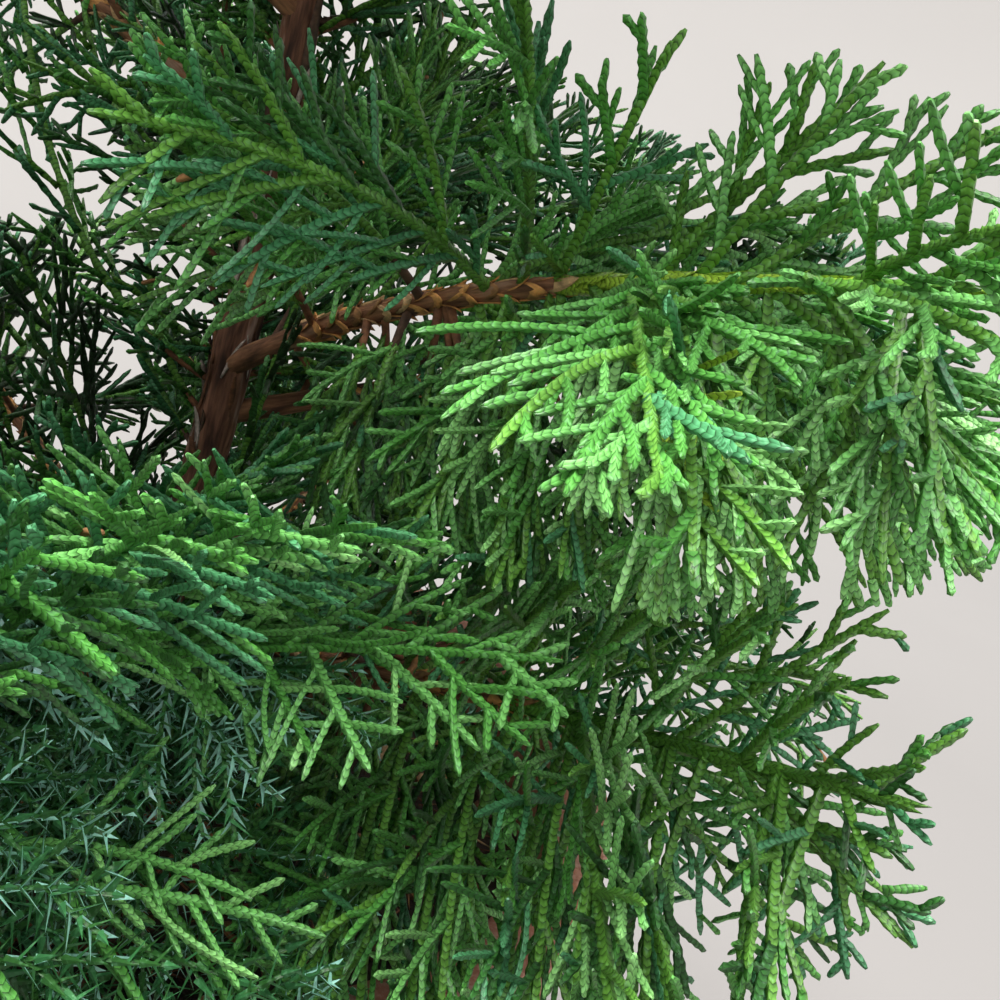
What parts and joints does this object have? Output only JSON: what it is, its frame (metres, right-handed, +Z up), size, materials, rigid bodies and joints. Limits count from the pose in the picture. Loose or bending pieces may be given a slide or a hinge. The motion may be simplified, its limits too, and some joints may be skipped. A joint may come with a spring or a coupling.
{
  "type": "potted spiral topiary juniper",
  "caption": "Young conifer trained up one bare stem, its scale-leaved foliage clipped as a spiral ribbon, in a round tapered clay pot filled with soil.",
  "frame": {"origin": "centre of the pot's flat underside", "axes": "+Z up along the trunk, -Y towards the side seen in the picture, +X to its right"},
  "size_m": [0.4111, 0.417, 0.9132],
  "materials": {
    "terracotta": "matte",
    "soil": "matte",
    "bark": "matte",
    "foliage": "satin"
  },
  "bodies": {
    "root": {"pot": "terracotta", "soil": "soil", "trunk": "bark", "bough_01": "bark", "bough_02": "bark", "bough_03": "bark", "bough_04": "bark", "bough_05": "bark", "bough_06": "bark", "bough_07": "bark", "bough_08": "bark", "bough_09": "bark", "bough_10": "bark", "bough_11": "bark", "bough_12": "bark", "bough_13": "bark", "bough_14": "bark", "bough_15": "bark", "bough_16": "bark", "bough_17": "bark", "bough_18": "bark", "bough_19": "bark", "bough_20": "bark", "bough_21": "bark", "bough_22": "bark", "foliage_01": "foliage", "foliage_02": "foliage", "foliage_03": "foliage", "foliage_04": "foliage", "foliage_05": "foliage", "foliage_06": "foliage", "foliage_07": "foliage", "foliage_08": "foliage", "foliage_09": "foliage", "foliage_10": "foliage", "foliage_11": "foliage", "foliage_12": "foliage", "foliage_13": "foliage", "foliage_14": "foliage", "foliage_15": "foliage", "foliage_16": "foliage", "foliage_17": "foliage", "foliage_18": "foliage", "foliage_19": "foliage", "foliage_20": "foliage", "foliage_21": "foliage", "foliage_22": "foliage", "foliage_top": "foliage"}
  },
  "joints": []
}
